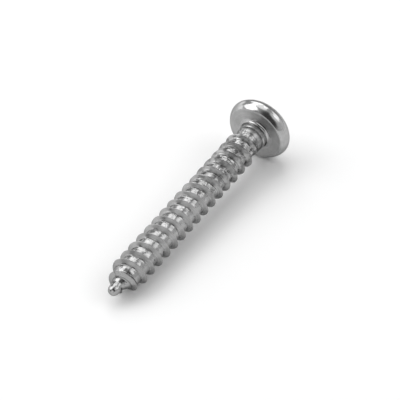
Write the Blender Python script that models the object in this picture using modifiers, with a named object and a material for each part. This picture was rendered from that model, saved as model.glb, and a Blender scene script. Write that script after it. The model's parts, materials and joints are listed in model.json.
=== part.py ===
"""Sheet metal screw with a pan head and a cross recess, threaded down to a gimlet point.

The screw is drawn upright, its point at the origin and its head on top, with sizes in millimetres.
It is then laid down the way it comes to rest: on the rim of its head and on the crest of a turn.
"""

import bpy
import bmesh
from math import atan2, ceil, cos, exp, pi, radians, sin, sqrt, tan
from mathutils import Matrix, Vector

MM = 0.001

# Right-hand rolled thread
PITCH = 1.3
CREST_DIAMETER = 3.47
ROOT_DIAMETER = 2.6
CREST_WIDTH = 0.08
POINT_FLANK_ANGLE = 35.0
HEAD_FLANK_ANGLE = 31.0
FLANK_BEND = 0.22
ROOT_EASE = 0.1
LENGTH_UNDER_HEAD = 25.0
THREAD_START_ANGLE = 36.33

# Gimlet point
NOSE_RADIUS = 0.56
CONE_START = 0.95
CORE_HALF_ANGLE = 25.5
POINT_CREST_RADIUS = 0.7
CREST_HALF_ANGLE = 19.5
POINT_THREAD_START = 0.6
POINT_THREAD_LENGTH = 0.9

# Run-out of the thread below the head
RUN_OUT_GAP = 1.7
RUN_OUT_LENGTH = 0.8

# Neck and pan head
NECK_DIAMETER = 2.86
NECK_LENGTH = 1.4
NECK_SHOULDER = 0.4
NECK_END_DIAMETER = 2.4
NECK_FILLET = 0.42
HEAD_DIAMETER = 6.7
HEAD_HEIGHT = 2.35
BEARING_DIAMETER = 5.94
EDGE_HEIGHT = 0.9
EDGE_START_ANGLE = 20.0
DOME_SIDE_POWER = 2.6
DOME_TOP_POWER = 1.7

# Cross recess in the top of the head
RECESS_SPAN = 3.9
RECESS_DEPTH = 1.8
RECESS_END_ANGLE = 26.5
WING_WIDTH = 0.95
WING_SIDE_ANGLE = 5.0
CORE_DIAMETER = 1.9
CORE_SIDE_ANGLE = 9.0
RECESS_POINT_DEPTH = 0.2
RECESS_TURN_ANGLE = 20.0
CUTTER_RISE = 1.0

# Facets round the thread, round the head and along each curve of the head
THREAD_STEPS = 32
HEAD_STEPS = 48
CORE_STEPS = 16
FILLET_STEPS = 4
EDGE_STEPS = 5
DOME_STEPS = 12

# Turns below the point, which crowd into the nose, and share of a turn that ends inside the head
NOSE_TURNS = 2
TOP_IN_HEAD = 0.75
WELD_DISTANCE = 0.001

STEEL_GREY = 0.38
STEEL_ROUGHNESS = 0.3
SHARP_ANGLE = 35.0

NAME = "screw"


def clear_scene():
    for obj in list(bpy.data.objects):
        bpy.data.objects.remove(obj, do_unlink=True)


def new_collection(name):
    collection = bpy.data.collections.new(name)
    bpy.context.scene.collection.children.link(collection)
    return collection


def new_object(name, data, collection, parent=None):
    obj = bpy.data.objects.new(name, data)
    collection.objects.link(obj)
    obj.parent = parent
    return obj


def hide_as_cutter(obj):
    obj.hide_render = True
    obj.display_type = "WIRE"


def ease(share):
    """0 up to 0, 1 from 1 on, and a smooth rise between them."""
    share = min(max(share, 0.0), 1.0)
    return share * share * (3 - 2 * share)


def profile_line(name, points, collection, parent):
    """An open line through (radius, height) points, in the plane of X and Z."""
    mesh = bpy.data.meshes.new(name)
    vertices = [(radius * MM, 0.0, height * MM) for radius, height in points]
    mesh.from_pydata(vertices, [(i, i + 1) for i in range(len(points) - 1)], [])
    return new_object(name, mesh, collection, parent)


def turn_line(obj, steps, turns=1, climb=0.0):
    """Turns the line about Z, climbing by the given height in each turn."""
    screw = obj.modifiers.new("turn", "SCREW")
    screw.axis = "Z"
    screw.angle = 2 * pi
    screw.steps = steps
    screw.render_steps = steps
    screw.iterations = turns
    screw.screw_offset = climb * MM
    screw.use_merge_vertices = climb == 0.0
    screw.merge_threshold = WELD_DISTANCE * MM


def freeze(obj):
    """Gives the object the mesh that its modifiers make."""
    graph = bpy.context.evaluated_depsgraph_get()
    made = bpy.data.meshes.new_from_object(obj.evaluated_get(graph))
    obj.modifiers.clear()
    obj.data = made


def shade_round(obj):
    """Smooth across the facets and sharp where two faces meet at a clear angle."""
    obj.data.shade_smooth()
    obj.data.set_sharp_from_angle(angle=radians(SHARP_ANGLE))


def core_radius(height):
    """The body's radius between the turns: a round nose, a cone, then the root diameter."""
    if height < NOSE_RADIUS:
        return sqrt(max(height * (2 * NOSE_RADIUS - height), 0.0))
    cone = NOSE_RADIUS + max(height - CONE_START, 0.0) * tan(radians(CORE_HALF_ANGLE))
    return min(cone, ROOT_DIAMETER / 2)


def crest_radius(height):
    """The radius over the turns: a slimmer cone than the body's, then the crest diameter."""
    cone = POINT_CREST_RADIUS + height * tan(radians(CREST_HALF_ANGLE))
    return min(cone, CREST_DIAMETER / 2)


def thread_height(height):
    """How far the crest stands over the root: it grows from the point and runs out at the neck."""
    full = max(crest_radius(height) - core_radius(height), 0.0)
    grown = ease((height - POINT_THREAD_START) / POINT_THREAD_LENGTH)
    left = ease((LENGTH_UNDER_HEAD - RUN_OUT_GAP - height) / RUN_OUT_LENGTH)
    return full * grown * left


def thread_section():
    """One pitch as (distance along the axis from the crest's middle, share of the crest's height)."""
    depth = (CREST_DIAMETER - ROOT_DIAMETER) / 2
    half = CREST_WIDTH / 2
    below = depth * tan(radians(POINT_FLANK_ANGLE))
    above = depth * tan(radians(HEAD_FLANK_ANGLE))
    return [
        (-PITCH / 2, 0.0),
        (-half - below - ROOT_EASE, 0.0),
        (-half - below * (1 - FLANK_BEND), FLANK_BEND),
        (-half, 1.0),
        (half, 1.0),
        (half + above * (1 - FLANK_BEND), FLANK_BEND),
        (half + above + ROOT_EASE, 0.0),
        (PITCH / 2, 0.0),
    ]


def share_at(offset, section):
    """The section's share of the crest's height at this distance from the crest's middle."""
    for (low, low_share), (high, high_share) in zip(section, section[1:]):
        if offset <= high:
            return low_share + (high_share - low_share) * (offset - low) / (high - low)
    return section[-1][1]


def drawn_in(height):
    """Heights below the nose's centre, drawn together so that they never pass the point."""
    if height >= NOSE_RADIUS:
        return height
    return NOSE_RADIUS * exp(height / NOSE_RADIUS - 1)


def close_to_axis(bm, loop_test, height):
    """Closes the open edge whose vertices pass the test, with a fan to a point on the axis."""
    rim = [edge for edge in bm.edges if edge.is_boundary and loop_test(edge.verts[0].co.z)]
    grown = bmesh.ops.extrude_edge_only(bm, edges=rim)
    inner = [item for item in grown["geom"] if isinstance(item, bmesh.types.BMVert)]
    bmesh.ops.pointmerge(bm, verts=inner, merge_co=(0.0, 0.0, height * MM))


def make_shank(collection, parent):
    """The threaded body: one pitch swept up a helix, then each point brought in to its radius."""
    section = thread_section()
    line = [(CREST_DIAMETER, offset) for offset, _ in reversed(section)]
    shank = profile_line(NAME, line, collection, parent)
    turns = ceil(LENGTH_UNDER_HEAD / PITCH) + 1 + NOSE_TURNS
    turn_line(shank, THREAD_STEPS, turns, PITCH)
    freeze(shank)
    bm = bmesh.new()
    bm.from_mesh(shank.data)
    bmesh.ops.remove_doubles(bm, verts=bm.verts, dist=WELD_DISTANCE * MM)
    below = (turns - TOP_IN_HEAD) * PITCH - LENGTH_UNDER_HEAD
    start = radians(THREAD_START_ANGLE) - 2 * pi * below / PITCH
    for vertex in bm.verts:
        angle = atan2(vertex.co.y, vertex.co.x)
        climbed = vertex.co.z / MM - PITCH * angle / (2 * pi)
        offset = climbed - PITCH * round(climbed / PITCH)
        height = vertex.co.z / MM - below
        crest = share_at(offset, section) * thread_height(drawn_in(height - offset))
        height = drawn_in(height)
        radius = core_radius(height) + crest
        vertex.co = Vector((radius * cos(angle + start), radius * sin(angle + start), height)) * MM
    middle = LENGTH_UNDER_HEAD * MM / 2
    close_to_axis(bm, lambda z: z < middle, 0.0)
    close_to_axis(bm, lambda z: z > middle, LENGTH_UNDER_HEAD + TOP_IN_HEAD * PITCH)
    bmesh.ops.recalc_face_normals(bm, faces=bm.faces)
    bm.to_mesh(shank.data)
    bm.free()
    shade_round(shank)
    return shank


def quarter(steps):
    """Angles of a quarter turn in equal steps, without the first."""
    return [pi / 2 * step / steps for step in range(1, steps + 1)]


def head_line():
    """The head's outline from the crown down its outer side to the neck inside the thread."""
    seat = LENGTH_UNDER_HEAD
    rim = HEAD_DIAMETER / 2
    neck = NECK_DIAMETER / 2
    dome = HEAD_HEIGHT - EDGE_HEIGHT
    line = [(0.0, seat + HEAD_HEIGHT)]
    for angle in quarter(DOME_STEPS):
        radius = rim * sin(angle) ** (2 / DOME_SIDE_POWER)
        line.append((radius, seat + EDGE_HEIGHT + dome * cos(angle) ** (2 / DOME_TOP_POWER)))
    lowest = radians(EDGE_START_ANGLE)
    width = (rim - BEARING_DIAMETER / 2) / (1 - sin(lowest))
    for step in range(EDGE_STEPS - 1, -1, -1):
        angle = lowest + (pi / 2 - lowest) * step / EDGE_STEPS
        radius = rim - width * (1 - sin(angle))
        line.append((radius, seat + EDGE_HEIGHT * (1 - cos(angle) / cos(lowest))))
    line.append((neck + NECK_FILLET, seat))
    for angle in quarter(FILLET_STEPS):
        line.append((neck + NECK_FILLET * (1 - sin(angle)), seat - NECK_FILLET * (1 - cos(angle))))
    line.append((neck, seat - NECK_LENGTH))
    line.append((NECK_END_DIAMETER / 2, seat - NECK_LENGTH - NECK_SHOULDER))
    line.append((0.0, seat - NECK_LENGTH - NECK_SHOULDER))
    return line


def make_head(collection, parent):
    """The turned head and neck, with a flat of its facets towards the floor."""
    head = profile_line("head_blank", head_line(), collection, parent)
    turn_line(head, HEAD_STEPS)
    freeze(head)
    shade_round(head)
    head.rotation_euler.z = pi / HEAD_STEPS
    hide_as_cutter(head)
    return head


def make_wing(index, collection, parent):
    """One bar of the cross: a wedge that narrows downwards at its ends and at its sides."""
    floor = LENGTH_UNDER_HEAD + HEAD_HEIGHT - RECESS_DEPTH
    above = RECESS_DEPTH + CUTTER_RISE
    bm = bmesh.new()
    bmesh.ops.create_cube(bm, size=2.0)
    for vertex in bm.verts:
        rise = above if vertex.co.z > 0 else 0.0
        end = RECESS_SPAN / 2 - (RECESS_DEPTH - rise) * tan(radians(RECESS_END_ANGLE))
        side = WING_WIDTH / 2 - (RECESS_DEPTH - rise) * tan(radians(WING_SIDE_ANGLE))
        vertex.co = Vector((vertex.co.x * end, vertex.co.y * side, floor + rise)) * MM
    mesh = bpy.data.meshes.new("wing_cutter")
    bm.to_mesh(mesh)
    bm.free()
    wing = new_object(f"wing_cutter_{index}", mesh, collection, parent)
    wing.rotation_euler.z = radians(RECESS_TURN_ANGLE) + index * pi / 2
    hide_as_cutter(wing)
    return wing


def make_core(collection, parent):
    """The middle of the recess, which tapers to a shallow point."""
    crown = LENGTH_UNDER_HEAD + HEAD_HEIGHT
    slope = tan(radians(CORE_SIDE_ANGLE))
    line = [
        (0.0, crown + CUTTER_RISE),
        (CORE_DIAMETER / 2 + CUTTER_RISE * slope, crown + CUTTER_RISE),
        (CORE_DIAMETER / 2 - RECESS_DEPTH * slope, crown - RECESS_DEPTH),
        (0.0, crown - RECESS_DEPTH - RECESS_POINT_DEPTH),
    ]
    core = profile_line("core_cutter", line, collection, parent)
    turn_line(core, CORE_STEPS)
    hide_as_cutter(core)
    return core


def add_boolean(obj, other, operation):
    boolean = obj.modifiers.new(other.name, "BOOLEAN")
    boolean.operation = operation
    boolean.object = other
    boolean.solver = "EXACT"


def make_steel():
    """Bright zinc over steel."""
    steel = bpy.data.materials.new("zinc_plated_steel")
    steel.use_nodes = True
    shader = steel.node_tree.nodes["Principled BSDF"]
    shader.inputs["Base Color"].default_value = (STEEL_GREY, STEEL_GREY, STEEL_GREY, 1.0)
    shader.inputs["Metallic"].default_value = 1.0
    shader.inputs["Roughness"].default_value = STEEL_ROUGHNESS
    return steel


def lower_hull(points):
    """The lower side of the outline round (x, z) points, from left to right."""
    hull = []
    for x, z in sorted(points):
        while len(hull) > 1:
            (x1, z1), (x2, z2) = hull[-2:]
            if (x2 - x1) * (z - z1) > (z2 - z1) * (x - x1):
                break
            hull.pop()
        hull.append((x, z))
    return hull


def lay_down(axis, screw):
    """Lays the axis along X and lets it down until the head and a turn of the thread both touch."""
    lying = Matrix.Rotation(pi / 2, 4, "Y")
    bpy.context.view_layer.update()
    evaluated = screw.evaluated_get(bpy.context.evaluated_depsgraph_get())
    points = [lying @ vertex.co for vertex in evaluated.data.vertices]
    balance = sum(point.x for point in points) / len(points)
    hull = lower_hull([(point.x, point.z) for point in points])
    for (x1, z1), (x2, z2) in zip(hull, hull[1:]):
        if x2 >= balance:
            break
    slope = Matrix.Rotation(atan2(z2 - z1, x2 - x1), 4, "Y") @ lying
    points = [slope @ vertex.co for vertex in evaluated.data.vertices]
    middle = Vector()
    for i in range(2):
        side = [point[i] for point in points]
        middle[i] = (min(side) + max(side)) / 2
    middle.z = min(point.z for point in points)
    axis.matrix_world = Matrix.Translation(-middle) @ slope


def build():
    clear_scene()
    parts = new_collection("sheet_metal_screw")
    cutters = new_collection("cutters")
    axis = new_object("screw_axis", None, parts)
    screw = make_shank(parts, axis)
    add_boolean(screw, make_head(cutters, axis), "UNION")
    for index in range(2):
        add_boolean(screw, make_wing(index, cutters, axis), "DIFFERENCE")
    add_boolean(screw, make_core(cutters, axis), "DIFFERENCE")
    screw.data.materials.append(make_steel())
    lay_down(axis, screw)


build()
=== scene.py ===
# %% [markdown]
# # A sheet metal screw, dressed for a photograph
#
# The object is a pan head screw, cold-formed from one piece of steel wire. A press strikes the head
# and its cross recess, and two flat dies roll the coarse thread and the gimlet point. The screw is
# then plated with bright zinc.
#
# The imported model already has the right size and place. This lesson makes a finer skin for it: a
# thread that follows its helix exactly and carries the marks of the rolling dies, a smooth head, and
# a plated steel that varies as the real one does. Then it sets up the camera, the lamps and the floor.

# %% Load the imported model
import json
from math import atan2, cos, degrees, pi, radians, sin, tan

import bmesh
import bpy
from mathutils import Matrix, Vector


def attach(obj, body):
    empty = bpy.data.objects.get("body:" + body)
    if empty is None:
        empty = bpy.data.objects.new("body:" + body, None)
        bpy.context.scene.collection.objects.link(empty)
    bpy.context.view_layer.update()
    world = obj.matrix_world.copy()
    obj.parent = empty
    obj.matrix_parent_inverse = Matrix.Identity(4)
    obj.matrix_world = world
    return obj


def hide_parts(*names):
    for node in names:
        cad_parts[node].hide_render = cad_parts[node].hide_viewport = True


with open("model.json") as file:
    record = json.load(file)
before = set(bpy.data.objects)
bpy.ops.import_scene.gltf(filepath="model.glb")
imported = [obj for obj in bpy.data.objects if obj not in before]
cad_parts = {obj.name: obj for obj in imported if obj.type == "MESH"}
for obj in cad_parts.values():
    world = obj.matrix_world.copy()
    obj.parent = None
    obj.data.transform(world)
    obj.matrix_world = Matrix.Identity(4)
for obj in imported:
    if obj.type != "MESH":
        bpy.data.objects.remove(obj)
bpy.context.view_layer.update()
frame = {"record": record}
MM = 0.001

# %% [markdown]
# ## Where the screw lies
#
# The screw rests on the rim of its head and on one crest near its point, so its axis isn't quite
# level. The record holds one mount, a point on the flat ring under the head, with the direction in
# which the ring faces. That is enough to place everything: the axis runs through the middle of the
# ring, square to it. The drawing below is made upright, in millimetres, with the point at the origin
# and the head on top. `placed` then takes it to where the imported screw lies.
#
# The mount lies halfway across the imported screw's ring, which reaches from the end of its fillet to
# the bearing diameter. The skin's own fillet and ring differ a little and come further below.

# %% Axis of the screw
LENGTH = 25.0
NECK_DIAMETER = 2.86
PACKED_FILLET = 0.42
PACKED_BEARING_DIAMETER = 5.94

mount = frame["record"]["mounts"][0]
towards_head = -Vector(mount["axis"]).normalized()
sideways = Vector((0, 1, 0))
downwards = sideways.cross(towards_head)
ring_radius = (PACKED_BEARING_DIAMETER / 2 + NECK_DIAMETER / 2 + PACKED_FILLET) / 2
point_end = Vector(mount["pos_m"]) + downwards * ring_radius * MM - towards_head * LENGTH * MM
upright_axes = Matrix((downwards, sideways, towards_head)).transposed().to_4x4()
placed = Matrix.Translation(point_end) @ upright_axes @ Matrix.Scale(MM, 4)
print("the axis rises by", round(degrees(atan2(towards_head.z, towards_head.x)), 2), "degrees")

# %% [markdown]
# ## Camera
#
# The photograph looks along the screw from its point, from above and from one side, through a long
# lens from close by. The camera is given by the point it looks at, a direction and a distance.

# %% Place the camera
LOOK_AT = Vector((-4.274, -3.731, 7.909)) * MM
CAMERA_AZIMUTH = radians(-146.6)
CAMERA_ELEVATION = radians(41.84)
CAMERA_DISTANCE = 207.15 * MM
LENS = 201.8


def direction(azimuth, elevation):
    """The unit vector that points to this azimuth and elevation."""
    level = cos(elevation)
    return Vector((level * cos(azimuth), level * sin(azimuth), sin(elevation)))


camera = bpy.data.objects.new("camera", bpy.data.cameras.new("camera"))
bpy.context.scene.collection.objects.link(camera)
towards_camera = direction(CAMERA_AZIMUTH, CAMERA_ELEVATION)
camera.location = LOOK_AT + towards_camera * CAMERA_DISTANCE
camera.rotation_euler = towards_camera.to_track_quat("Z", "Y").to_euler()
camera.data.lens = LENS
camera.data.sensor_width = 36.0
camera.data.clip_start = 0.01
bpy.context.scene.camera = camera
print("camera at", tuple(round(value, 4) for value in camera.location))

# %% [markdown]
# ## A short way to write nodes
#
# Both the thread's shape and the steel's look are sums over positions. Written as nodes they would
# fill pages, so one small class wraps an output socket and turns `+`, `-`, `*` and `/` into Math
# nodes. One function adds any other node: it takes the node's type, its settings, and the values or
# links of its sockets.

# %% Node helpers
class Wire:
    """An output socket of a node tree, with arithmetic that adds Math nodes."""

    def __init__(self, tree, socket):
        self.tree = tree
        self.socket = socket

    def math(self, operation, *others):
        """A Math node whose first value is this wire."""
        values = dict(enumerate((self, *others)))
        return add_node(self.tree, "ShaderNodeMath", {"operation": operation}, values)

    def __add__(self, other):
        return self.math("ADD", other)

    def __radd__(self, other):
        return self + other

    def __sub__(self, other):
        return self.math("SUBTRACT", other)

    def __rsub__(self, other):
        return self.math("MULTIPLY_ADD", -1.0, other)

    def __mul__(self, other):
        return self.math("MULTIPLY", other)

    def __rmul__(self, other):
        return self * other

    def __truediv__(self, other):
        return self.math("DIVIDE", other)

    def least(self, other):
        return self.math("MINIMUM", other)

    def most(self, other):
        return self.math("MAXIMUM", other)

    def within(self, low, high):
        return self.most(low).least(high)

    def absolute(self):
        return self.math("ABSOLUTE")

    def root(self):
        return self.most(0.0).math("SQRT")


def add_node(tree, kind, settings=None, inputs=None, output=0):
    """Adds a node, makes its settings, fills its sockets and returns one of its outputs."""
    node = tree.nodes.new(kind)
    for name, value in (settings or {}).items():
        if name == "curve":
            draw_curve(node.mapping, value)
        else:
            setattr(node, name, value)
    for key, value in (inputs or {}).items():
        if isinstance(value, Wire):
            tree.links.new(value.socket, node.inputs[key])
        else:
            node.inputs[key].default_value = value
    return Wire(tree, node.outputs[output])


def draw_curve(mapping, points):
    """Gives a curve node these points, from left to right."""
    curve = mapping.curves[0]
    while len(curve.points) < len(points):
        curve.points.new(0.5, 0.5)
    for point, (x, y) in zip(curve.points, points):
        point.location = (x, y)
        point.handle_type = "AUTO_CLAMPED"
    mapping.update()


def parts_of(vector):
    """The three numbers of a vector."""
    split = add_node(vector.tree, "ShaderNodeSeparateXYZ", {}, {0: vector}).socket.node
    return [Wire(vector.tree, split.outputs[axis]) for axis in "XYZ"]


def vector_of(tree, x, y, z):
    return add_node(tree, "ShaderNodeCombineXYZ", {}, {"X": x, "Y": y, "Z": z})


def ease(wire, start, length):
    """0 up to the start, 1 from start + length on, and a smooth rise between."""
    settings = {"interpolation_type": "SMOOTHSTEP"}
    inputs = {"Value": wire, "From Min": start, "From Max": start + length}
    return add_node(wire.tree, "ShaderNodeMapRange", settings, inputs)


def between(first, second, share):
    """The first value where the share is 0, the second where it is 1."""
    return first + (second - first) * share


# %% [markdown]
# ## The rolled thread
#
# A thread is one section carried along a helix, so it is made by rule, in Geometry Nodes. A flat grid
# is enough to start from: its long side counts the turns, its short side runs across one pitch. Each
# of its points is then set in place. Where it stands on the long side gives its angle and its climb,
# where it stands on the short side gives its share of the crest's height. The edges of neighbouring
# turns meet, and Merge by Distance joins them.
#
# The grid follows the helix, so the crest stays a clean edge all along, which straight rings couldn't
# give. Below the point the turns would go on past the tip. An exponential draws them together there,
# so that they end in a tiny circle round the axis. The grid also goes on past the top of the shank,
# and what lies above it is cut off.
#
# On the lower turns the dies have closed the crest to a sharp edge. Higher up they haven't: there the
# crest is wide, a seam runs along it, and metal is folded down over the flank on the point's side.

# %% Sizes of the thread, in millimetres, degrees and shares
THREAD = {
    "Pitch": 1.3,
    "Crest Diameter": 3.47,
    "Root Diameter": 2.6,
    "Crest Width": 0.03,
    "Point Flank": 35.0,
    "Head Flank": 31.0,
    "Point Foot": 0.02,
    "Head Foot": 0.08,
    "Section End": 0.4,
    "Section Fade": 0.1,
    "Length": LENGTH,
    "Start Angle": 36.33,
    "Nose Radius": 0.56,
    "Cone Start": 1.2,
    "Core Half Angle": 30.0,
    "Cone Blend": 0.12,
    "Point Crest Radius": 0.7,
    "Crest Half Angle": 19.5,
    "Point Thread Start": 0.6,
    "Point Thread Length": 0.9,
    "Run-out Margin": 1.7,
    "Run-out Length": 0.8,
    "Neck Diameter": NECK_DIAMETER,
    "Neck Inset": 0.015,
    "Neck Start": 1.6,
    "Neck Rise Length": 0.5,
    "Neck Rings": 0.008,
    "Ring Rate": 9.0,
    "Dive Start": 0.84,
    "Dive Length": 0.1,
    "Dive Depth": 0.03,
    "Top Margin": 0.3,
}
MARKS = {
    "Roll Marks": 0.08,
    "Dent Scale": 1.5,
    "Fine Marks": 0.052,
    "Wrinkle Scale": 5.5,
    "Marks Squeeze": 0.6,
    "Flank Calm Rise": 3.0,
    "Flank Calm": 0.85,
    "Marks Start": 0.2,
    "Marks Rise": 1.2,
    "Marks End": 1.0,
    "Marks Fade": 0.5,
}
WEAR = {
    "Wear Start": 13.5,
    "Wear Length": 4.5,
    "Wear Spread": 12.0,
    "Patch Radius": 1.2,
    "Patch Scale": 0.8,
    "Wear End": 2.7,
    "Wear Fade": 0.8,
    "Open Crest Width": 0.1,
    "Seam Width": 0.11,
    "Seam Depth": 0.08,
    "Fold Place": 0.3,
    "Fold Half Width": 0.09,
    "Fold Height": 0.06,
    "Groove Shell": 1.5,
    "Groove Radius": 0.2,
    "Groove Half Width": 0.13,
    "Groove Depth": 0.16,
}
SIZES = {**THREAD, **MARKS, **WEAR}
COUNTS = {
    "Turns": 23,
    "Turns below Point": 3,
    "Steps per Turn": 104,
    "Rows per Pitch": 36,
    "Seed": 4,
}
PATCH_SEED = 7
GROOVE_PLACE = (-0.39, -1.45, 22.35)
WELD_DISTANCE = 0.0004
# even rows across half a pitch go to these places: close together on the crest and at its foot
ROW_PLACES = [(0.0, 0.0), (0.13, 0.045), (0.42, 0.44), (0.7, 0.62), (1.0, 1.0)]
print(len(SIZES), "sizes and", len(COUNTS), "counts")


# %% The grid and its inputs
def group_inputs(tree):
    """Gives the tree a named input for each size and count, and returns them as wires."""
    tree.interface.new_socket("Geometry", in_out="INPUT", socket_type="NodeSocketGeometry")
    tree.interface.new_socket("Geometry", in_out="OUTPUT", socket_type="NodeSocketGeometry")
    for values, kind in ((SIZES, "NodeSocketFloat"), (COUNTS, "NodeSocketInt")):
        for name, value in values.items():
            tree.interface.new_socket(name, in_out="INPUT", socket_type=kind).default_value = value
    tree.interface.new_socket("Steel", in_out="INPUT", socket_type="NodeSocketMaterial")
    node = tree.nodes.new("NodeGroupInput")
    return {output.name: Wire(tree, output) for output in node.outputs if output.name}


def turn_grid(tree, size):
    """A flat grid, the turn of each of its points, and its place across the pitch, -0.5 to 0.5."""
    grid = add_node(tree, "GeometryNodeMeshGrid", {}, {
        "Size X": 1.0,
        "Size Y": 1.0,
        "Vertices X": size["Turns"] * size["Steps per Turn"] + 1,
        "Vertices Y": size["Rows per Pitch"] + 1,
    })
    along, even, _ = parts_of(add_node(tree, "GeometryNodeInputPosition"))
    turn = (along + 0.5) * size["Turns"] - size["Turns below Point"]
    from_crest = {"Value": even.absolute() * 2}
    spaced = add_node(tree, "ShaderNodeFloatCurve", {"curve": ROW_PLACES}, from_crest)
    return grid, turn, spaced * 0.5 * even.math("SIGN")


def drawn_in(height, nose):
    """Heights below the nose's centre, drawn together so that they never pass the point."""
    low = (height.least(nose) / nose - 1).math("EXPONENT")
    return low * nose + (height - nose).most(0.0)


# %% The smooth screw
def tangent(wire):
    """The tangent of an angle in degrees."""
    return (wire * (pi / 180)).math("TANGENT")


def core_radius(height, size):
    """A round nose, a cone, then the root of the thread."""
    nose = size["Nose Radius"]
    low = height.within(0.0, nose)
    ball = (low * (nose * 2 - low)).root()
    cone = (height - size["Cone Start"]).most(0.0) * tangent(size["Core Half Angle"])
    return (ball + cone).math("SMOOTH_MIN", size["Root Diameter"] / 2, size["Cone Blend"])


def crest_rise(height, size):
    """How far the crest stands over the core: it grows from the point and runs out at the neck."""
    cone = size["Point Crest Radius"] + height * tangent(size["Crest Half Angle"])
    over = cone.least(size["Crest Diameter"] / 2) - core_radius(height, size)
    grown = ease(height, size["Point Thread Start"], size["Point Thread Length"])
    end = size["Length"] - size["Run-out Margin"]
    left = 1 - ease(height, end - size["Run-out Length"], size["Run-out Length"])
    return over.most(0.0) * grown * left


def crest_share(aside, headward, worn, size):
    """1 on the crest, straight down the flank, and 0 from the foot on."""
    depth = (size["Crest Diameter"] - size["Root Diameter"]) / 2
    slope = tangent(between(size["Point Flank"], size["Head Flank"], headward))
    foot = between(size["Point Foot"], size["Head Foot"], headward)
    width = between(size["Crest Width"], size["Open Crest Width"], worn)
    straight = 1 - (aside - width / 2) / (depth * slope)
    share = straight.math("SMOOTH_MAX", 0.0, foot / depth).least(1.0)
    return share * (1 - ease(aside / size["Pitch"], size["Section End"], size["Section Fade"]))


def neck_rise(height, size):
    """What the rolled neck adds to the root's radius; its top dives under the head's smooth neck."""
    shoulder = size["Neck Diameter"] / 2 - size["Root Diameter"] / 2 - size["Neck Inset"]
    rings = (height * size["Ring Rate"]).math("SINE") * size["Neck Rings"]
    settled = ease(height, size["Length"] - size["Neck Start"], size["Neck Rise Length"])
    dive = ease(height, size["Length"] - size["Dive Start"], size["Dive Length"])
    return (shoulder + rings) * settled - dive * size["Dive Depth"]


# %% Marks and wear
def noise(where, seed, scale, detail):
    """Seeded noise, about 0.5 on average."""
    inputs = {"Vector": where, "W": seed, "Scale": scale, "Detail": detail}
    return add_node(where.tree, "ShaderNodeTexNoise", {"noise_dimensions": "4D"}, inputs)


def worn_share(middle, cosine, sine, size):
    """0 on the clean lower turns, 1 on the worn upper ones, and patchy between."""
    circle = size["Patch Radius"]
    around = vector_of(middle.tree, cosine * circle, sine * circle, middle)
    patches = noise(around, size["Seed"] + PATCH_SEED, size["Patch Scale"], detail=2.0) - 0.5
    worn = ease(middle + patches * size["Wear Spread"], size["Wear Start"], size["Wear Length"])
    return worn * (1 - ease(middle, size["Length"] - size["Wear End"], size["Wear Fade"]))


def die_marks(height, cosine, sine, smooth_radius, share, size):
    """Dents and wrinkles left by the dies: wrinkles mostly in the root, both coarser where worn."""
    across_axis = smooth_radius * size["Marks Squeeze"]
    where = vector_of(height.tree, cosine * across_axis, sine * across_axis, height)
    dents = noise(where, size["Seed"], size["Dent Scale"], detail=1.0) - 0.5
    wrinkles = noise(where, size["Seed"], size["Wrinkle Scale"], detail=2.0) - 0.5
    in_root = 1 - (share * size["Flank Calm Rise"]).least(1.0) * size["Flank Calm"]
    marks = dents * size["Roll Marks"] + wrinkles * size["Fine Marks"] * in_root
    begun = ease(height, size["Marks Start"], size["Marks Rise"])
    ended = ease(height, size["Length"] - size["Marks End"], size["Marks Fade"])
    return marks * begun * (1 - ended) * (1 + ease(height, size["Wear Start"], size["Wear Length"]))


def crest_wear(aside, headward, worn, size):
    """On worn turns, a seam sunk along the crest and a fold on the point's side of it."""
    seam = (1 - aside / (size["Seam Width"] / 2)).most(0.0) * size["Seam Depth"]
    off_fold = (aside - size["Fold Place"]).absolute()
    fold = (1 - off_fold / size["Fold Half Width"]).most(0.0) * size["Fold Height"]
    return (fold * (1 - headward) - seam) * worn


def ring_groove(height, cosine, sine, size):
    """A small ring sunk into the metal beside the end of the thread."""
    shell = vector_of(height.tree, cosine * size["Groove Shell"], sine * size["Groove Shell"], height)
    ends = {0: shell, 1: GROOVE_PLACE}
    away = add_node(height.tree, "ShaderNodeVectorMath", {"operation": "DISTANCE"}, ends, "Value")
    off_ring = (away - size["Groove Radius"]).absolute()
    return (1 - off_ring / size["Groove Half Width"]).most(0.0) * size["Groove Depth"]


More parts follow.
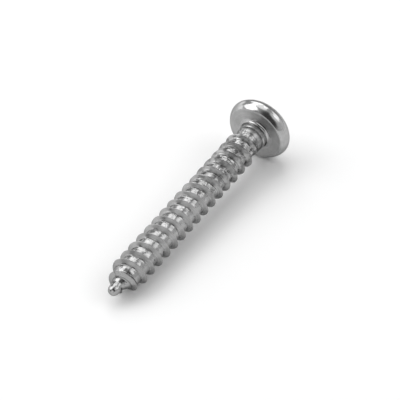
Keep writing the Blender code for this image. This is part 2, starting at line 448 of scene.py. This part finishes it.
# %% Put the thread's tree together
def rolled_thread_tree():
    """The tree that carries the thread's section up its helix."""
    tree = bpy.data.node_groups.new("rolled_thread", "GeometryNodeTree")
    size = group_inputs(tree)
    grid, turn, across = turn_grid(tree, size)
    height = drawn_in((turn + across) * size["Pitch"], size["Nose Radius"])
    middle = drawn_in(turn * size["Pitch"], size["Nose Radius"])
    angle = turn * (2 * pi) + size["Start Angle"] * (pi / 180)
    cosine = angle.math("COSINE")
    sine = angle.math("SINE")
    headward = across.math("GREATER_THAN", 0.0)
    aside = across.absolute() * size["Pitch"]

    worn = worn_share(middle, cosine, sine, size)
    share = crest_share(aside, headward, worn, size)
    smooth_radius = core_radius(height, size) + share * crest_rise(middle, size)
    radius = smooth_radius + neck_rise(height, size)
    radius = radius + die_marks(height, cosine, sine, smooth_radius, share, size)
    radius = radius + crest_wear(aside, headward, worn, size) - ring_groove(height, cosine, sine, size)

    too_high = height.math("GREATER_THAN", size["Length"] - size["Top Margin"])
    cut = {"Geometry": grid, "Selection": too_high}
    kept = add_node(tree, "GeometryNodeDeleteGeometry", {"domain": "POINT"}, cut)
    position = vector_of(tree, cosine * radius, sine * radius, height)
    shaped = add_node(tree, "GeometryNodeSetPosition", {}, {"Geometry": kept, "Position": position})
    weld = {"Geometry": shaped, "Distance": WELD_DISTANCE}
    joined = add_node(tree, "GeometryNodeMergeByDistance", {}, weld)
    whole = add_node(tree, "GeometryNodeRealizeInstances", {}, {"Geometry": joined})
    coated = {"Geometry": whole, "Material": size["Steel"]}
    coat = add_node(tree, "GeometryNodeSetMaterial", {}, coated)
    tree.links.new(coat.socket, tree.nodes.new("NodeGroupOutput").inputs[0])
    return tree


thread_tree = rolled_thread_tree()
print("the thread's tree has", len(thread_tree.nodes), "nodes")

# %% [markdown]
# ## Zinc over steel
#
# Bright zinc is a grey metal mirror that isn't quite clean. The plating is slightly cloudy, the rolling
# dies leave fine lines that run round the thread, and the tumbling barrel adds small dull spots. Stains
# lie on the worn turns, and the corners of the roots carry painted shade. On the pressed head the
# finish is smoother.
# All of it is metal, so Metallic is 1 everywhere, and only the colour, the roughness and the bump vary.
#
# Object coordinates are metres in the scene's frame. A Mapping node brings them back to the drawing's:
# millimetres, along the axis and across it. There a place on the screw is a height, a radius and an
# angle, and lines that run round it are noise that changes quickly with height and radius and slowly
# with the angle.

# %% Values of the steel
ROLLED_GREY = (0.35, 0.47)
HEAD_LIGHTER = 0.3
POINT_DARKER = 0.6
# the dark grey of the stains on the worn turns, and of the painted shade in the corners
STAIN_AND_SHADE_GREY = 0.16
# how far the corners of the roots are darkened: painted shade
CORNER_SHADE_PAINT = 0.35
STAIN = 0.6
ROLLED_ROUGHNESS = (0.1, 0.28)
FLANK_ROUGHNESS = 0.16
HEAD_ROUGHNESS = 0.15
CLOUD_ROUGHNESS = 0.12
RING_ROUGHNESS = 0.42
EDGE_TINT = 0.5
LINE_DEPTH = 0.01
WORN_LINE_DEPTH = 0.04
SPOT_DEPTH = 0.035
WORN_SPOTS = 0.6
FLANK_CALM = 0.85
HEAD_RELIEF = 0.01
# the patterns' noise: scale, detail and roughness
LINE_NOISE = (1.0, 2.0, 0.6)
CLOUD_NOISE = (1.1, 3.0, 0.5)
SPOT_NOISE = (2.3, 1.2, 0.5)
LINES_PER_MM = 9.0
LINES_AROUND = 0.8
AXIS_RADIUS = 0.05
# weights of the cloud, the lines and the spots, and the sums between which each look changes
GREY_WEIGHTS = (0.45, 0.35, 0.2)
GREY_LIMITS = (0.38, 0.62)
ROUGHNESS_WEIGHTS = (0.0, 0.5, 0.5)
ROUGHNESS_LIMITS = (0.35, 0.65)
STAIN_WEIGHTS = (0.4, 0.0, 0.6)
STAIN_EDGE = (0.42, 0.14)
# heights and radii where one finish gives way to the next: start, length of the change
HEAD_FROM = (LENGTH - 0.45, 0.2)
WORN_FROM = (12.5, 6.0)
CLEAR_OF_POINT = (1.5, 5.0)
CONE_ENDS = (2.0, 0.8)
NOSE_ENDS = (1.8, 1.5)
RING_ENDS = (LENGTH + 0.01, 0.03)
RING_FROM = (1.75, 0.15)
FLANK_FROM = (1.34, 0.12)
# the painted shade in the corners lies this far outside the root's surface, and further near the point
CORNER_SHADE_OFFSET = 0.04
POINT_SHADE_OFFSET = 0.035
CORNER_SHADE_EDGE = (0.015, 0.05)
# how much stronger the painted corner shade is near the point
POINT_SHADE_GAIN = 1.1
print("the rolled metal's greys:", ROLLED_GREY, "and its roughness:", ROLLED_ROUGHNESS)


# %% Places and patterns on the steel
def drawing_place(tree):
    """The place on the screw in the drawing's frame, in millimetres."""
    back = placed.inverted()
    return add_node(tree, "ShaderNodeMapping", {"vector_type": "POINT"}, {
        "Vector": add_node(tree, "ShaderNodeTexCoord", {}, {}, "Object"),
        "Location": back.to_translation(),
        "Rotation": back.to_euler(),
        "Scale": back.to_scale(),
    })


def speckle(vector, scale, detail, roughness):
    """Noise, about 0.5 on average."""
    inputs = {"Vector": vector, "Scale": scale, "Detail": detail, "Roughness": roughness}
    return add_node(vector.tree, "ShaderNodeTexNoise", {}, inputs)


def spread(wire, low, high, start, end):
    """Takes values between low and high to values between start and end."""
    inputs = {"Value": wire, "From Min": low, "From Max": high, "To Min": start, "To Max": end}
    return add_node(wire.tree, "ShaderNodeMapRange", {}, inputs)


def blend_colours(share, first, second):
    """A colour between two colours, each a wire or a grey."""
    ends = [end if isinstance(end, Wire) else (end, end, end, 1.0) for end in (first, second)]
    inputs = {0: share, 6: ends[0], 7: ends[1]}
    return add_node(share.tree, "ShaderNodeMix", {"data_type": "RGBA"}, inputs, 2)


def steel_places(tree):
    """Where a point of the surface is, which part of the screw that is, and its patterns."""
    place = drawing_place(tree)
    x, y, height = parts_of(place)
    radius = (x * x + y * y).root()
    turned_slowly = y / (radius + AXIS_RADIUS) * LINES_AROUND
    ringed = vector_of(tree, radius * LINES_PER_MM, height * LINES_PER_MM, turned_slowly)
    on_head = ease(height, *HEAD_FROM)
    rolled = 1 - on_head
    return {
        "height": height,
        "radius": radius,
        "on_head": on_head,
        "rolled": rolled,
        "worn": ease(height, *WORN_FROM) * rolled,
        "on_flank": ease(radius, *FLANK_FROM),
        "lines": speckle(ringed, *LINE_NOISE),
        "cloud": speckle(place, *CLOUD_NOISE),
        "spots": speckle(place, *SPOT_NOISE),
    }


def mixed(at, weights):
    """The cloud, the lines and the spots, added up with these weights."""
    return sum(at[name] * weight for name, weight in zip(("cloud", "lines", "spots"), weights))


# %% Colour, roughness and relief
def painted_corner_shade(at):
    """Painted shade: 1 in the corners where the flanks meet the root, 0 elsewhere."""
    nose = THREAD["Nose Radius"]
    rise = THREAD["Root Diameter"] / 2 - nose
    slope = tan(radians(THREAD["Core Half Angle"]))
    cone = ((at["height"] - THREAD["Cone Start"]) * slope).within(0.0, rise)
    near_point = 1 - ease(at["height"], *CONE_ENDS)
    offset = CORNER_SHADE_OFFSET + near_point * POINT_SHADE_OFFSET
    off_corner = (at["radius"] - (cone + nose) - offset).absolute()
    return (1 - ease(off_corner, *CORNER_SHADE_EDGE)) * at["rolled"] * (1 + near_point * POINT_SHADE_GAIN)


def steel_colour(at):
    by_point = 1 - ease(at["height"], *CLEAR_OF_POINT)
    shade = spread(mixed(at, GREY_WEIGHTS), *GREY_LIMITS, 0.0, 1.0)
    shade = shade + at["on_head"] * HEAD_LIGHTER - by_point * POINT_DARKER
    stain = (1 - ease(mixed(at, STAIN_WEIGHTS), *STAIN_EDGE)) * at["worn"]
    # the stains on the worn turns are real; the darkening of the corners is painted shade
    stain_and_shade = (painted_corner_shade(at) * CORNER_SHADE_PAINT + stain * STAIN).within(0.0, 1.0)
    return blend_colours(stain_and_shade, blend_colours(shade, *ROLLED_GREY), STAIN_AND_SHADE_GREY)


def steel_roughness(at):
    rolled = spread(mixed(at, ROUGHNESS_WEIGHTS), *ROUGHNESS_LIMITS, *ROLLED_ROUGHNESS)
    rolled = rolled + at["on_flank"] * FLANK_ROUGHNESS
    pressed = HEAD_ROUGHNESS + (at["cloud"] - 0.5) * CLOUD_ROUGHNESS
    ring = (1 - ease(at["height"], *RING_ENDS)) * ease(at["radius"], *RING_FROM)
    return rolled * at["rolled"] + between(pressed, RING_ROUGHNESS, ring) * at["on_head"]


def steel_relief(at):
    """Fine lines and small dents in millimetres, next to none on the head."""
    in_root = 1 - at["on_flank"] * FLANK_CALM + (1 - ease(at["height"], *NOSE_ENDS))
    lines = at["lines"] * between(LINE_DEPTH, WORN_LINE_DEPTH, at["worn"])
    spots = at["spots"] * SPOT_DEPTH * (in_root + at["worn"] * WORN_SPOTS)
    return (lines + spots) * between(HEAD_RELIEF, 1.0, at["rolled"])


def plated_steel():
    material = bpy.data.materials.new("bright_zinc")
    material.use_nodes = True
    tree = material.node_tree
    shader = tree.nodes["Principled BSDF"]
    shader.inputs["Metallic"].default_value = 1.0
    shader.inputs["Specular Tint"].default_value = (EDGE_TINT, EDGE_TINT, EDGE_TINT, 1.0)
    at = steel_places(tree)
    relief = {"Height": steel_relief(at), "Distance": MM, "Strength": 1.0}
    tree.links.new(steel_colour(at).socket, shader.inputs["Base Color"])
    tree.links.new(steel_roughness(at).socket, shader.inputs["Roughness"])
    tree.links.new(add_node(tree, "ShaderNodeBump", {}, relief).socket, shader.inputs["Normal"])
    return material


steel = plated_steel()
print("the steel has", len(steel.node_tree.nodes), "nodes")

# %% [markdown]
# ## From the tree to a mesh
#
# A modifier runs the tree on an empty mesh. Its inputs are set by their identifiers, and the result
# is copied out as a plain mesh. It is open at the nose and at its top inside the neck, and a fan of
# triangles closes each end.

# %% Run the tree
END_REACH = 0.5

parts = bpy.data.collections.new("screw_skin")
bpy.context.scene.collection.children.link(parts)


def new_object(name, mesh):
    obj = bpy.data.objects.new(name, mesh)
    parts.objects.link(obj)
    return obj


def freeze(obj):
    """Gives the object the mesh that its modifiers make, and removes them."""
    graph = bpy.context.evaluated_depsgraph_get()
    made = bpy.data.meshes.new_from_object(obj.evaluated_get(graph))
    obj.modifiers.clear()
    obj.data = made


def close_ends(mesh):
    """Closes each open edge with a fan to a point on the axis."""
    bm = bmesh.new()
    bm.from_mesh(mesh)
    rims = [edge for edge in bm.edges if edge.is_boundary]
    heights = [edge.verts[0].co.z for edge in rims]
    for level in (min(heights), max(heights)):
        rim = [edge for edge in rims if abs(edge.verts[0].co.z - level) < END_REACH]
        grown = bmesh.ops.extrude_edge_only(bm, edges=rim)
        inner = [item for item in grown["geom"] if isinstance(item, bmesh.types.BMVert)]
        bmesh.ops.pointmerge(bm, verts=inner, merge_co=(0.0, 0.0, level))
    bmesh.ops.dissolve_degenerate(bm, dist=1e-5, edges=bm.edges)
    bmesh.ops.recalc_face_normals(bm, faces=bm.faces)
    bm.to_mesh(mesh)
    bm.free()


def form_of(mesh):
    """The number of edges without exactly two faces, and the volume inside."""
    bm = bmesh.new()
    bm.from_mesh(mesh)
    loose = sum(not edge.is_manifold for edge in bm.edges)
    volume = bm.calc_volume(signed=True)
    bm.free()
    return loose, volume


def make_shank():
    shank = new_object("threaded_shank", bpy.data.meshes.new("threaded_shank"))
    modifier = shank.modifiers.new("rolled_thread", "NODES")
    modifier.node_group = thread_tree
    values = {**SIZES, **COUNTS, "Steel": steel}
    for item in thread_tree.interface.items_tree:
        if item.in_out == "INPUT" and item.name in values:
            modifier[item.identifier] = values[item.name]
    freeze(shank)
    close_ends(shank.data)
    return shank


shank = make_shank()
print("shank:", len(shank.data.polygons), "faces")
print("open edges and cubic millimetres:", form_of(shank.data))

# %% [markdown]
# ## The head
#
# The press makes the head the same all round, so it is one outline, spun round the axis. The crown
# is a flat dome, the rim rolls under it to the crisp edge of the flat ring, and a short fillet leads
# from the ring to a smooth neck, which the dies don't reach. The neck's end is rounded and lies inside
# the rolled shank.
#
# The photograph doesn't show the recess. It is the plain cross that screws of this kind have, cut
# with two bars and a core.

# %% Sizes of the head, in millimetres
HEAD_DIAMETER = 6.7
HEAD_HEIGHT = 2.35
EDGE_HEIGHT = 0.9
FLAT_DIAMETER = 5.88
EDGE_START = radians(60.0)
DOME_SIDE_POWER = 2.6
DOME_TOP_POWER = 1.7
SMOOTH_NECK_RADIUS = 1.472
SMOOTH_NECK_DEPTH = 0.77
SMOOTH_NECK_FILLET = 0.265
NECK_END_WIDTH = 0.12
NECK_END_LENGTH = 0.22
HEAD_STEPS = 128
DOME_STEPS = 40
EDGE_STEPS = 18
RING_STEPS = 6
NECK_ARC_STEPS = 6
RECESS_SPAN = 3.9
RECESS_DEPTH = 1.8
RECESS_END_ANGLE = radians(26.5)
WING_WIDTH = 0.95
WING_SIDE_ANGLE = radians(5.0)
CORE_DIAMETER = 1.9
CORE_SIDE_ANGLE = radians(9.0)
CORE_STEPS = 48
RECESS_POINT_DEPTH = 0.2
RECESS_TURN = radians(20.0)
CUTTER_RISE = 1.0
print("the head is", HEAD_DIAMETER, "mm wide and", HEAD_HEIGHT, "mm high")


# %% Outline of the head
def quarter_turn(steps, start=0.0):
    """Angles from the start to a quarter turn."""
    return [start + (pi / 2 - start) * step / steps for step in range(steps + 1)]


def dome_and_rim():
    """Points (radius, height) from the crown out to the rim and in again to the edge of the ring."""
    rim = HEAD_DIAMETER / 2
    dome = HEAD_HEIGHT - EDGE_HEIGHT
    width = (rim - FLAT_DIAMETER / 2) / (1 - sin(EDGE_START))
    line = [(0.0, LENGTH + HEAD_HEIGHT)]
    for angle in quarter_turn(DOME_STEPS)[1:]:
        radius = rim * sin(angle) ** (2 / DOME_SIDE_POWER)
        line.append((radius, LENGTH + EDGE_HEIGHT + dome * cos(angle) ** (2 / DOME_TOP_POWER)))
    for angle in reversed(quarter_turn(EDGE_STEPS, EDGE_START)[:-1]):
        radius = rim - width * (1 - sin(angle))
        line.append((radius, LENGTH + EDGE_HEIGHT * (1 - cos(angle) / cos(EDGE_START))))
    return line


def neck():
    """Points (radius, height): the fillet under the ring, the straight neck and its rounded end."""
    line = []
    for angle in quarter_turn(NECK_ARC_STEPS):
        radius = SMOOTH_NECK_RADIUS + SMOOTH_NECK_FILLET * (1 - sin(angle))
        line.append((radius, LENGTH - SMOOTH_NECK_FILLET * (1 - cos(angle))))
    for angle in quarter_turn(NECK_ARC_STEPS):
        radius = SMOOTH_NECK_RADIUS - NECK_END_WIDTH * (1 - cos(angle))
        line.append((radius, LENGTH - SMOOTH_NECK_DEPTH + NECK_END_LENGTH * (1 - sin(angle))))
    return line + [(0.0, LENGTH - SMOOTH_NECK_DEPTH)]


def ring(outer, inner):
    """Points across the flat ring, without its two ends."""
    return [(outer + (inner - outer) * step / RING_STEPS, LENGTH) for step in range(1, RING_STEPS)]


def head_outline():
    below = neck()
    return dome_and_rim() + ring(FLAT_DIAMETER / 2, below[0][0]) + below


print("points in the head's outline:", len(head_outline()))


# %% Turn the head and cut the recess
def turned(name, line, steps):
    """A closed form turned from an outline of (radius, height) points."""
    bm = bmesh.new()
    verts = [bm.verts.new((radius, 0.0, height)) for radius, height in line]
    edges = [bm.edges.new(pair) for pair in zip(verts, verts[1:])]
    bmesh.ops.spin(bm, geom=verts + edges, cent=(0, 0, 0), axis=(0, 0, 1), angle=2 * pi, steps=steps)
    bmesh.ops.remove_doubles(bm, verts=bm.verts, dist=1e-4)
    bmesh.ops.recalc_face_normals(bm, faces=bm.faces)
    mesh = bpy.data.meshes.new(name)
    bm.to_mesh(mesh)
    bm.free()
    return new_object(name, mesh)


def wing(index):
    """One bar of the cross: a wedge that narrows downwards at its ends and at its sides."""
    floor = LENGTH + HEAD_HEIGHT - RECESS_DEPTH
    bm = bmesh.new()
    bmesh.ops.create_cube(bm, size=2.0)
    for vertex in bm.verts:
        rise = RECESS_DEPTH + CUTTER_RISE if vertex.co.z > 0 else 0.0
        end = RECESS_SPAN / 2 - (RECESS_DEPTH - rise) * tan(RECESS_END_ANGLE)
        side = WING_WIDTH / 2 - (RECESS_DEPTH - rise) * tan(WING_SIDE_ANGLE)
        vertex.co = Vector((vertex.co.x * end, vertex.co.y * side, floor + rise))
    bmesh.ops.rotate(bm, verts=bm.verts, matrix=Matrix.Rotation(RECESS_TURN + index * pi / 2, 3, "Z"))
    mesh = bpy.data.meshes.new("wing")
    bm.to_mesh(mesh)
    bm.free()
    return new_object("wing", mesh)


def recess_core():
    """The middle of the recess, which tapers to a shallow point."""
    crown = LENGTH + HEAD_HEIGHT
    slope = tan(CORE_SIDE_ANGLE)
    return turned("recess_core", [
        (0.0, crown + CUTTER_RISE),
        (CORE_DIAMETER / 2 + CUTTER_RISE * slope, crown + CUTTER_RISE),
        (CORE_DIAMETER / 2 - RECESS_DEPTH * slope, crown - RECESS_DEPTH),
        (0.0, crown - RECESS_DEPTH - RECESS_POINT_DEPTH),
    ], CORE_STEPS)


def combine(obj, other, operation):
    """Joins or cuts with an exact Boolean and leaves a plain mesh."""
    modifier = obj.modifiers.new(operation, "BOOLEAN")
    modifier.operation = operation
    modifier.object = other
    modifier.solver = "EXACT"
    freeze(obj)
    bpy.data.objects.remove(other, do_unlink=True)


screw = turned("screw_skin", head_outline(), HEAD_STEPS)
for cutter in (wing(0), wing(1), recess_core()):
    combine(screw, cutter, "DIFFERENCE")
print("head:", len(screw.data.polygons), "faces")

# %% [markdown]
# ## One skin
#
# The shank reaches up into the head's neck and the neck reaches down into the shank, so a Boolean
# union makes them one closed skin.

SHARP_ANGLE = radians(50)

combine(screw, shank, "UNION")
print("open edges and cubic millimetres:", form_of(screw.data))
screw.data.transform(placed)
screw.data.materials.clear()
screw.data.materials.append(steel)
screw.data.shade_smooth()
screw.data.set_sharp_from_angle(angle=SHARP_ANGLE)
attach(screw, "root")
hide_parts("screw")
print("screw:", sum(len(face.vertices) - 2 for face in screw.data.polygons), "triangles")

# %% [markdown]
# ## Floor, lamps and walls
#
# The photograph is taken on white. The floor is a plain pale card, which the lamps and the walls
# light to white and which keeps the screw's soft shadow.
#
# Bright zinc mostly shows what stands round it. So the lamps and the lighter and darker patches of
# the walls are there to be seen in the steel: each stands where the mirror direction of a highlight
# or of a dark place in the photograph leads. The lamps are area lights with the radiance that a
# mirror would show, and the walls are a world of plain greys, which costs no geometry.

# %% Lay the floor
FLOOR_RADIUS = 1.5
FLOOR_GREY = 0.95
FLOOR_ROUGHNESS = 0.9


def pale_floor():
    bm = bmesh.new()
    bmesh.ops.create_circle(bm, cap_ends=True, segments=96, radius=FLOOR_RADIUS)
    mesh = bpy.data.meshes.new("floor")
    bm.to_mesh(mesh)
    bm.free()
    floor = bpy.data.objects.new("floor", mesh)
    bpy.context.scene.collection.objects.link(floor)
    material = bpy.data.materials.new("white_card")
    material.use_nodes = True
    shader = material.node_tree.nodes["Principled BSDF"]
    shader.inputs["Base Color"].default_value = (FLOOR_GREY, FLOOR_GREY, FLOOR_GREY, 1.0)
    shader.inputs["Roughness"].default_value = FLOOR_ROUGHNESS
    shader.inputs["Specular IOR Level"].default_value = 0.0
    mesh.materials.append(material)
    return floor


floor = pale_floor()
print("the floor reaches", FLOOR_RADIUS, "m from the screw")

# %% Hang the lamps
LAMP_DISTANCE = 0.6
LAMPS = [
    # name, azimuth and elevation in degrees, width and height in metres, radiance
    ("left_softbox", 115, 43, 0.45, 0.43, 2.25),
    ("back_softbox", 38, 46, 0.37, 0.32, 1.9),
    ("link_softbox", 75, 54, 0.14, 0.2, 1.7),
    ("top_softbox", 0, 64, 0.12, 0.2, 1.85),
    ("right_softbox", -57, 44, 0.44, 0.26, 1.15),
]


def softbox(name, azimuth, elevation, width, height, radiance):
    """A rectangular lamp that faces the screw; its radiance is what a mirror would show."""
    data = bpy.data.lights.new(name, "AREA")
    data.shape = "RECTANGLE"
    data.size = width
    data.size_y = height
    data.energy = radiance * pi * width * height
    lamp = bpy.data.objects.new(name, data)
    bpy.context.scene.collection.objects.link(lamp)
    towards = direction(radians(azimuth), radians(elevation))
    lamp.location = towards * LAMP_DISTANCE
    lamp.rotation_euler = towards.to_track_quat("Z", "Y").to_euler()


for lamp in LAMPS:
    softbox(*lamp)
print(len(LAMPS), "lamps")

# %% Paint the walls
WALL_GREY = 0.47
WALL_PATCHES = [
    # azimuth and elevation of the middle, inner and outer radius in degrees, grey
    (62, 78, 12, 22, 1.6),
    (-65, 12, 15, 38, 0.8),
    (-138, 42, 24, 42, 0.08),
    (-178, 13, 8, 24, 1.2),
    (72, 3, 12, 17, 1.5),
    (98, 3, 12, 18, 1.5),
    (124, 3, 12, 19, 1.1),
    (152, 14, 7, 14, 0.08),
    (-95, 15, 10, 30, 0.7),
    (-90, 47, 12, 25, 1.0),
]


def studio_walls():
    """A grey room with round patches of lighter and darker wall; it is dark where the camera stands."""
    world = bpy.data.worlds.new("studio")
    bpy.context.scene.world = world
    world.use_nodes = True
    tree = world.node_tree
    towards = add_node(tree, "ShaderNodeTexCoord", {}, {}, "Generated")
    grey = WALL_GREY
    for azimuth, elevation, inner, outer, patch_grey in WALL_PATCHES:
        ends = {0: towards, 1: direction(radians(azimuth), radians(elevation))}
        facing = add_node(tree, "ShaderNodeVectorMath", {"operation": "DOT_PRODUCT"}, ends, "Value")
        low = cos(radians(outer))
        grey = between(grey, patch_grey, ease(facing, low, cos(radians(inner)) - low))
    background = tree.nodes["Background"]
    tree.links.new(grey.socket, background.inputs["Color"])
    background.inputs["Strength"].default_value = 1.0


studio_walls()
bpy.context.scene.view_settings.view_transform = "Standard"
print(len(WALL_PATCHES), "patches of wall")
